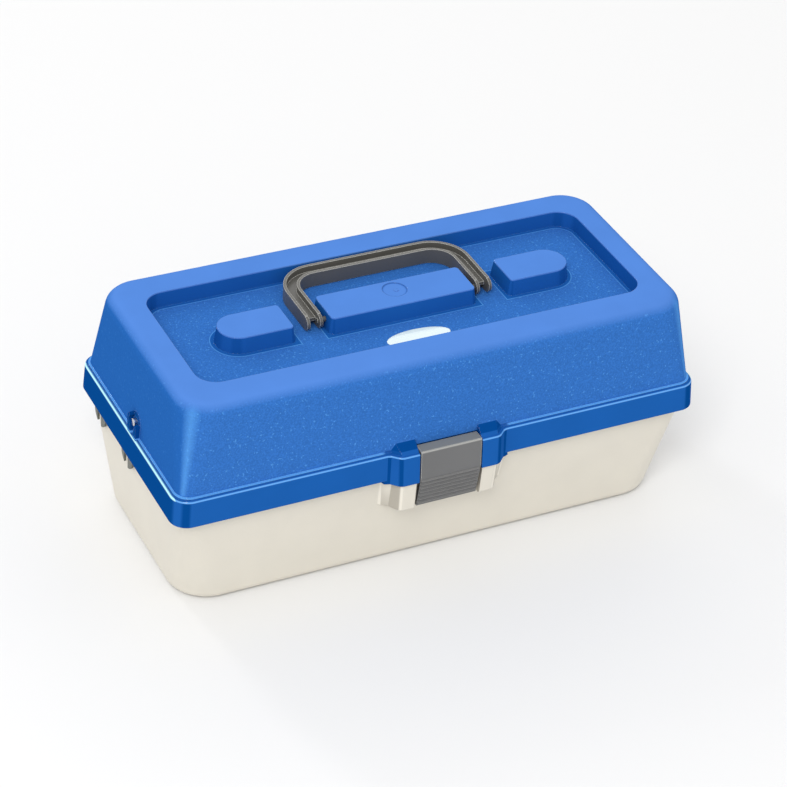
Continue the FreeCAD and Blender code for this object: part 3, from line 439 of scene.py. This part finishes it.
# ------------------------------------------------------------------ operators
class TACKLE_OT_tub(bpy.types.Operator):
    """Finish the cream tub"""
    bl_idname = "tackle.tub"
    bl_label = "Tub"

    def execute(self, context):
        plan, cream = TubPlan, colours().tub
        s = Sheet("CreamMoulding")
        x, y, z = s.across()
        # the front wall leans out with the height, and the boss is what stands out from it
        lean = s.maths("ADD", s.shift(plan.wall_y, 1), s.product(z, plan.wall_lean))
        boss = s.product(s.under(x, plan.boss_half), s.under(lean, -plan.boss_step, 0.0002),
                         s.over(z, plan.boss_foot, 0.0006))
        # the boss under the latch is polished: painted dark reflections on its flanks, and a painted bright
        # reflection band beside its face
        side = s.sideways()
        dark_reflection = s.product(s.over(side, 0.62, 0.05), 0.60)
        shaded = s.blend(dark_reflection, cream, tuple(colours().tub_flank_reflection))
        band = s.between(side, 0.30, 0.55, 0.06)
        shaded = s.blend(band, shaded, [min(1.0, 1.15 * c) for c in cream])
        tone = s.ramp(s.noise(0.030, 3.0), cream, 0.98, 1.02)
        s.feed(Base_Color=s.blend(boss, tone, shaded), Roughness=s.spread(boss, 0.0, 1.0, 0.42, 0.25))
        normal = s.bump(s.noise(0.0016, 2.0, 0.55), 0.00003, s.soft_edges(detail().edge))
        dress(s.finish(normal, Specular_IOR_Level=0.4), "base_tub")
        return {"FINISHED"}


class TACKLE_OT_lid(bpy.types.Operator):
    """Finish the blue lid"""
    bl_idname = "tackle.lid"
    bl_label = "Lid"

    def foot_distance(self, s, x, y):
        """Distance on the recess floor to the nearest foot: of the boss, a pad or the recess wall.

        The boss is a box, a pad is a circle cut off flat, and the recess is a box with round corners."""
        plan = LidPlan
        boss = s.most(s.past(x, plan.boss_x), s.past(y, plan.boss_y))
        nose = s.most(s.past(x, plan.pad_nose), 0.0)
        pad = s.past(s.length(nose, y), plan.pad_round)
        pad = s.most(pad, s.maths("SUBTRACT", plan.pad_flat, x))
        rim_x, rim_y = s.past(x, plan.recess_corner_x), s.past(y, plan.recess_corner_y)
        bend = s.length(s.most(rim_x, 0.0), s.most(rim_y, 0.0))
        rim = s.maths("ADD", bend, s.least(s.most(rim_x, rim_y), 0.0))
        rim = s.maths("SUBTRACT", plan.recess_corner, rim)
        return s.least(s.least(boss, pad), rim)

    def corner_light(self, s, x, y, z):
        """Share of light on the upright corners, by how far a point is round the corner's curve."""
        plan = LidPlan
        rise = s.product(z, plan.corner_lean)
        turn_x = s.maths("ADD", s.past(x, plan.corner_x), rise)
        turn_y = s.maths("ADD", s.past(y, plan.corner_y), rise)
        radius = s.past(s.product(z, plan.corner_shrink), plan.corner_round)
        return s.spread(s.maths("DIVIDE", s.least(turn_x, turn_y), radius), 0.50, 0.70, 0.0, 0.38)

    def execute(self, context):
        plan, d, c = LidPlan, detail(), colours()
        s = Sheet("BlueMoulding")
        x, y, z = s.across()
        # how far a point stands out from the sloping walls: the ledge, bead, lugs and fairings do
        proud = s.most(s.past(y, plan.wall_y), s.past(x, plan.wall_x))
        proud = s.over(s.maths("ADD", proud, s.product(z, plan.wall_lean)), plan.step)
        outside = s.most(s.over(x, plan.recess_x), s.over(y, plan.recess_y))
        wall = s.product(s.over(z, plan.wall_foot), s.under(z, plan.wall_top, 0.0020), outside,
                         s.inverse(proud))
        foot = self.foot_distance(s, x, y)
        floor = s.product(s.under(outside, 0.5), s.under(z, plan.recess_floor))
        line = s.product(s.between(foot, *plan.foot_highlight_band), floor)
        floor = s.product(floor, s.over(foot, plan.foot_highlight_band[1]))
        grained = s.maths("ADD", wall, floor, clamp=True)
        rounded = s.soft_edges(d.edge)
        # painted highlight lines: round the feet, the bead, and the rounding along the top of the skirt
        by_latch = s.product(s.under(x, plan.latch_half, 0.0010), s.under(s.shift(0.0, 1), plan.latch_front))
        bead = s.product(s.between(z, *plan.bead), s.inverse(by_latch))
        brim = s.between(z, *plan.brim)
        pale = s.product(s.most(s.product(line, 0.70), s.most(bead, brim)), 0.80)
        # the upright corners of the walls catch the light
        pale = s.most(pale, s.product(self.corner_light(s, x, y, z), wall))
        # painted highlight: a near white line along the brim of the ends
        gleam = s.product(s.over(z, plan.gleam[0], 0.0003), s.under(z, plan.gleam[1], 0.0002))
        white = s.product(gleam, s.over(x, plan.gleam_from))
        # painted light: the polished top faces, and the rim outside the recess, take the lighter blue of the
        # lit tops
        lit_top_zone = s.most(s.over(z, plan.rim_top), s.product(outside, s.over(z, plan.rim_foot)))
        # painted shade: the polished faces are painted deeper in a band as they turn to the ends,
        # on the ends themselves and on the fairings beside the latch
        side = s.sideways()
        painted_shade = s.most(s.between(side, 0.22, 0.62, 0.07), s.over(side, 0.93, 0.04))
        painted_shade = s.product(painted_shade, s.spread(outside, 0.0, 1.0, 0.4, 1.0))
        painted_shade = s.most(painted_shade, s.product(proud, s.over(z, plan.fairing_foot)))
        cloud = s.noise(0.030, 3.0)
        skirt = s.blend(painted_shade, s.ramp(cloud, c.lid_skirt, 0.97, 1.03), tuple(c.lid_end_painted_shade))
        smooth = s.blend(lit_top_zone, skirt, s.ramp(cloud, c.lid_top_lit, 0.97, 1.03))
        # grained faces: speckled, with painted glints, and painted shade on the ends
        speck = s.noise(d.grain, 2.0, 0.6)
        grain = s.ramp(speck, c.lid_grained, 0.93, 1.14, 0.40, 0.62)
        painted_glint = s.spread(s.noise(0.0017, 1.0), 0.66, 0.72, 0.0, 0.35)
        grain = s.blend(painted_glint, grain, tuple(c.lid_edge_highlight))
        grain = s.blend(s.product(s.over(side, 0.80, 0.08), 0.70), grain, tuple(c.lid_skirt))
        colour = s.blend(grained, smooth, grain)
        # shaded lip of the round dimple in the boss
        spot = s.length(s.shift(plan.dimple_x, 0), s.shift(plan.dimple_y, 1))
        inner, outer = plan.dimple_lip
        lip = s.product(s.over(spot, inner, 0.0004), s.under(spot, outer), s.over(z, plan.dimple_top), 0.55)
        colour = s.blend(lip, colour, tuple(c.lid_skirt))
        # painted highlights: the pale lines and corners, then the near white line along the ends
        colour = s.blend(white, s.blend(pale, colour, tuple(c.lid_edge_highlight)), tuple(c.lid_end_highlight))
        coat = s.most(s.product(s.edge_share(rounded), 0.6), brim)
        s.feed(Base_Color=colour, Roughness=s.spread(grained, 0.0, 1.0, 0.25, 0.55),
               Coat_Weight=coat, Coat_Normal=rounded)
        normal = s.bump(s.product(speck, grained), d.grain_height, rounded)
        dress(s.finish(normal, Specular_IOR_Level=0.0, Coat_Roughness=0.12), "lid_shell")
        return {"FINISHED"}


class TACKLE_OT_label(bpy.types.Operator):
    """Blank domed oval label on the recess floor"""
    bl_idname = "tackle.label"
    bl_label = "Label"

    def execute(self, context):
        low, high = (np.array(c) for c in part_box("label_plate"))
        middle, half = (low + high) / 2, (high - low) / 2
        # an oval dome: the height falls off with the square of the share of the radius, and the
        # edge turns down in a small round to the plate's underside
        crown, columns = detail().label_crown, 96
        inside = np.linspace(0.03, 0.96, 10)
        brink, turn_down = [0.985, 0.997, 1.0, 1.0], [0.0, 0.00008, 0.0002]
        share = np.concatenate([inside, brink])
        top = np.concatenate([high[2] - crown * inside ** 2, high[2] - crown - turn_down, low[2:]])
        turn = np.linspace(0, 2 * np.pi, columns, endpoint=False)
        x = middle[0] + half[0] * share[:, None] * np.cos(turn)
        y = middle[1] + half[1] * share[:, None] * np.sin(turn)
        z = np.repeat(top[:, None], columns, axis=1)
        points = np.stack([x, y, z], axis=-1).reshape(-1, 3)
        tips = np.array([[middle[0], middle[1], high[2]], [middle[0], middle[1], low[2]]])
        # fans of triangles close the crown and the underside
        crown_ring = np.arange(columns)
        under_ring = crown_ring + (len(share) - 1) * columns
        faces = (ring_faces(len(share), columns)[:, ::-1].tolist()
                 + fan_faces(len(points), crown_ring).tolist()
                 + fan_faces(len(points) + 1, under_ring[::-1]).tolist())
        s = Sheet("LabelGloss")
        s.feed(Base_Color=s.ramp(s.noise(0.02, 2.0), colours().label, 0.99, 1.0))
        material = s.finish(s.bump(s.noise(0.006, 1.0), 0.00001), Roughness=0.16, Coat_Weight=0.4)
        mesh = bpy.data.meshes.new("label_dome")
        mesh.from_pydata(np.vstack([points, tips]).tolist(), [], faces)
        mesh.update()
        mesh.shade_smooth()
        mesh.materials.append(material)
        piece = bpy.data.objects.new("label_dome", mesh)
        bpy.context.scene.collection.objects.link(piece)
        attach(piece, "lid")
        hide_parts("label_plate")
        return {"FINISHED"}


class TACKLE_OT_fittings(bpy.types.Operator):
    """Finish the grey handle and latch"""
    bl_idname = "tackle.fittings"
    bl_label = "Handle and latch"

    def execute(self, context):
        edge_highlight = tuple(colours().edge_highlight)
        grey = moulded("HandleMoulding", colours().handle, 0.36, 0.0012, 0.00003, edge_highlight=edge_highlight)
        dress(grey, "handle_bail", "handle_pin_left", "handle_pin_right")
        # the edge colour is a painted highlight along the latch's top front edge
        crown = Crown(height=0.0935, colour=(0.180, 0.180, 0.155), edge=(0.420, 0.420, 0.400))
        ribs = Ribs(top=0.0724, pitch=0.0031, shade=(0.030, 0.030, 0.032))
        pale = moulded("LatchMoulding", colours().latch, 0.38, 0.0012, 0.00003, mottle=0.04,
                       edge_highlight=edge_highlight, crown=crown, ribs=ribs)
        dress(pale, "latch")
        return {"FINISHED"}


class TACKLE_OT_linkage(bpy.types.Operator):
    """Finish the arms, links, pins and pegs"""
    bl_idname = "tackle.linkage"
    bl_label = "Arms and pins"

    def execute(self, context):
        strip = metal("ArmStrip", (0.60, 0.60, 0.61), 0.34, (1.0, 0.15, 1.0))
        steel = metal("PinSteel", (0.70, 0.70, 0.70), 0.22, (0.1, 1.0, 1.0))
        peg = moulded("PegMoulding", (0.110, 0.115, 0.095), 0.42, 0.0012, 0.00002)
        for side in ("left", "right"):
            dress(strip, "arm_rear_" + side, "arm_front_" + side, "link_" + side)
            dress(peg, "peg_rear_" + side, "peg_front_" + side)
            dress(steel, "tray_pin_rear_" + side, "tray_pin_front_" + side, "link_pin_" + side,
                  "lid_pin_" + side, "hinge_pin_" + side)
        dress(steel, "latch_pin")
        return {"FINISHED"}


class TACKLE_OT_tray(bpy.types.Operator):
    """Finish the tray and its dividers"""
    bl_idname = "tackle.tray"
    bl_label = "Tray"

    def execute(self, context):
        pale = moulded("TrayMoulding", colours().tray, 0.44, 0.0016, 0.00003, mottle=0.02)
        dress(pale, "tray_shell", "tray_divider_1", "tray_divider_2", "tray_divider_3")
        return {"FINISHED"}


def soft_lamp(name, place, width, depth, power):
    """Rectangular lamp that faces the middle of the box."""
    data = bpy.data.lights.new(name, "AREA")
    data.shape, data.size, data.size_y, data.energy = "RECTANGLE", width, depth, power
    lamp = bpy.data.objects.new(name, data)
    lamp.location = place
    target = Vector((0, 0, 0.1))
    lamp.rotation_euler = (Vector(place) - target).to_track_quat("Z", "Y").to_euler()
    bpy.context.scene.collection.objects.link(lamp)


class TACKLE_OT_stage(bpy.types.Operator):
    """Pale floor, soft lamps and the camera"""
    bl_idname = "tackle.stage"
    bl_label = "Stage"

    def execute(self, context):
        scene, setting = context.scene, context.scene.tackle_stage
        # camera: back is the unit vector from the box to the camera, right and up span the picture
        a, e, r = setting.azimuth, setting.elevation, setting.roll
        back = Vector((math.sin(a) * math.cos(e), -math.cos(a) * math.cos(e), math.sin(e)))
        right = (-back).cross(Vector((0, 0, 1))).normalized()
        up = right.cross(-back)
        right, up = right * math.cos(r) + up * math.sin(r), up * math.cos(r) - right * math.sin(r)
        # the camera stands a little right of and above the middle, counted in dots of the render;
        # dots_long is the focal length in the same dots
        middle, dots_right, dots_up, dots_long = Vector((0, 0, 0.0715)), 4.99, 3.41, 2738.3
        dot = setting.distance / dots_long
        spot = middle + back * setting.distance + right * (dots_right * dot) + up * (dots_up * dot)
        data = bpy.data.cameras.new("View")
        data.lens, data.sensor_width, data.clip_end = setting.lens, 36.0, 50.0
        camera = bpy.data.objects.new("View", data)
        turn = Matrix((right, up, back)).transposed().to_4x4()
        camera.matrix_world = Matrix.Translation(spot) @ turn
        scene.collection.objects.link(camera)
        scene.camera = camera
        # floor: one square, with half its side here
        reach = 6
        corners = [(-reach, -reach, 0), (reach, -reach, 0), (reach, reach, 0), (-reach, reach, 0)]
        mesh = bpy.data.meshes.new("floor")
        mesh.from_pydata(corners, [], [(0, 1, 2, 3)])
        paper = Sheet("FloorPaper")
        paper.shader.inputs["Base Color"].default_value = (0.84, 0.84, 0.84, 1.0)
        paper.shader.inputs["Roughness"].default_value = 0.9
        paper.shader.inputs["Specular IOR Level"].default_value = 0.1
        mesh.materials.append(paper.material)
        floor = bpy.data.objects.new("floor", mesh)
        scene.collection.objects.link(floor)
        # surroundings: a plain light, and near white where the camera sees past the floor
        world = scene.world or bpy.data.worlds.new("World")
        scene.world = world
        world.use_nodes = True
        tree = world.node_tree
        sky = tree.nodes["Background"]
        sky.inputs["Color"].default_value = (1.0, 1.0, 1.0, 1.0)
        sky.inputs["Strength"].default_value = setting.fill
        plain = tree.nodes.new("ShaderNodeBackground")
        plain.inputs["Color"].default_value = (0.93, 0.93, 0.93, 1.0)
        path = tree.nodes.new("ShaderNodeLightPath")
        mix = tree.nodes.new("ShaderNodeMixShader")
        seen = path.outputs["Is Camera Ray"]
        for kind in ("Is Glossy Ray", "Is Transmission Ray"):
            either = tree.nodes.new("ShaderNodeMath")
            either.operation = "MAXIMUM"
            tree.links.new(seen, either.inputs[0])
            tree.links.new(path.outputs[kind], either.inputs[1])
            seen = either.outputs[0]
        tree.links.new(seen, mix.inputs["Fac"])
        tree.links.new(sky.outputs["Background"], mix.inputs[1])
        tree.links.new(plain.outputs["Background"], mix.inputs[2])
        tree.links.new(mix.outputs["Shader"], tree.nodes["World Output"].inputs["Surface"])
        soft_lamp("KeyLamp", (-1.50, -1.90, 2.70), 1.3, 1.3, setting.key)
        soft_lamp("BackPanel", (1.30, 2.50, 2.05), 2.6, 1.6, setting.panel)
        soft_lamp("StripLamp", (-0.85, 2.80, 1.75), 0.36, 1.2, setting.strip)
        scene.view_settings.view_transform = "Standard"
        return {"FINISHED"}


class TACKLE_PT_panel(bpy.types.Panel):
    """Lists the steps and their settings"""
    bl_label = "Tackle Box"
    bl_idname = "TACKLE_PT_panel"
    bl_space_type = "VIEW_3D"
    bl_region_type = "UI"
    bl_category = "Tackle Box"

    def draw(self, context):
        column = self.layout.column()
        for step in STEPS:
            column.operator(step.bl_idname)
        for group in GROUPS:
            box = self.layout.box()
            settings = getattr(context.scene, group)
            for key in settings.bl_rna.properties.keys():
                if key not in ("rna_type", "name"):
                    box.prop(settings, key)


GROUPS = {"tackle_colours": MouldingColours, "tackle_detail": SurfaceDetail, "tackle_stage": StageSettings}
STEPS = (TACKLE_OT_stage, TACKLE_OT_tub, TACKLE_OT_lid, TACKLE_OT_label, TACKLE_OT_fittings,
         TACKLE_OT_linkage, TACKLE_OT_tray)


def register():
    """Adds the classes and hangs the settings on the scene."""
    for cls in tuple(GROUPS.values()) + STEPS + (TACKLE_PT_panel,):
        bpy.utils.register_class(cls)
    for name, cls in GROUPS.items():
        setattr(bpy.types.Scene, name, bpy.props.PointerProperty(type=cls))


def unregister():
    """Takes the settings and the classes away again."""
    for name in GROUPS:
        delattr(bpy.types.Scene, name)
    for cls in (TACKLE_PT_panel,) + STEPS[::-1] + tuple(GROUPS.values()):
        bpy.utils.unregister_class(cls)


def main():
    """Runs the steps in order."""
    register()
    for step in STEPS:
        group, name = step.bl_idname.split(".")
        result = getattr(getattr(bpy.ops, group), name)()
        if result != {"FINISHED"}:
            raise RuntimeError("step %s did not finish" % step.bl_idname)


if __name__ == "__main__":
    main()
